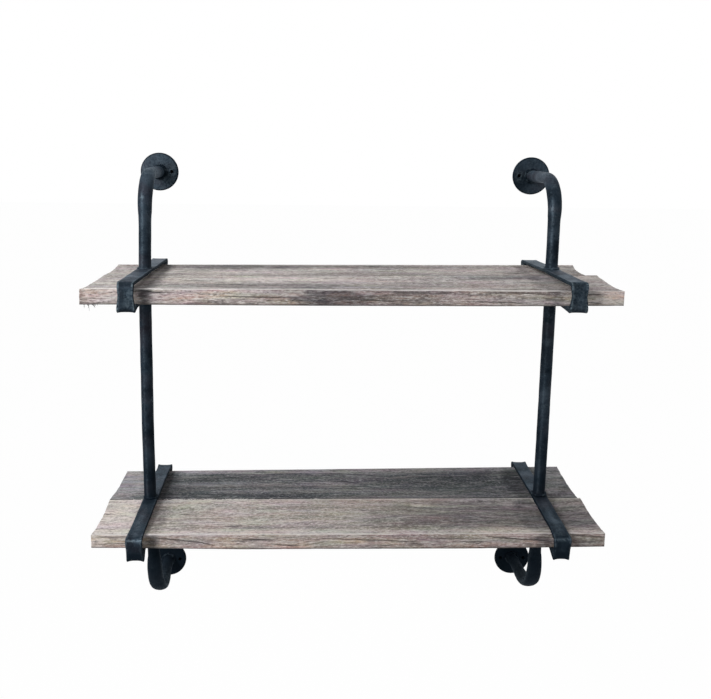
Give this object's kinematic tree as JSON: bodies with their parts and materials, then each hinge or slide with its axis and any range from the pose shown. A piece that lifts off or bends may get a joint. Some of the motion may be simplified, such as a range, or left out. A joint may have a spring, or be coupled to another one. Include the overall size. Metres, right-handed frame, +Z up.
{
  "type": "pipe shelving unit",
  "caption": "Wall-hung shelving unit: shelves of weathered planks held in flat-bar loops, which are welded between steel tubes that bend back to round wall flanges.",
  "frame": {"origin": "on the wall plane, midway between the four wall flanges' centres", "axes": "+X to the right seen from the room, +Y into the wall, +Z up"},
  "size_m": [0.617, 0.2345, 0.604],
  "materials": {
    "blackened_steel": "matte blackened steel, a little worn and lighter at the bends",
    "weathered_wood": "rough grey-brown weathered softwood",
    "weathered_grey_wood": "rough blue-grey weathered softwood",
    "weathered_pale_wood": "rough pale beige weathered softwood",
    "screw_steel": "black oxide"
  },
  "bodies": {
    "root": {"left_upper_flange": "blackened_steel", "left_lower_flange": "blackened_steel", "left_upper_pipe": "blackened_steel", "left_middle_pipe": "blackened_steel", "left_lower_pipe": "blackened_steel", "left_upper_loop": "blackened_steel", "left_lower_loop": "blackened_steel", "left_weld_beads": "blackened_steel", "right_upper_flange": "blackened_steel", "right_lower_flange": "blackened_steel", "right_upper_pipe": "blackened_steel", "right_middle_pipe": "blackened_steel", "right_lower_pipe": "blackened_steel", "right_upper_loop": "blackened_steel", "right_lower_loop": "blackened_steel", "right_weld_beads": "blackened_steel", "upper_front_plank": "weathered_wood", "upper_back_plank": "weathered_wood", "upper_plank_screws": "screw_steel", "lower_front_plank": "weathered_pale_wood", "lower_back_plank": "weathered_grey_wood", "lower_plank_screws": "screw_steel"}
  },
  "joints": []
}
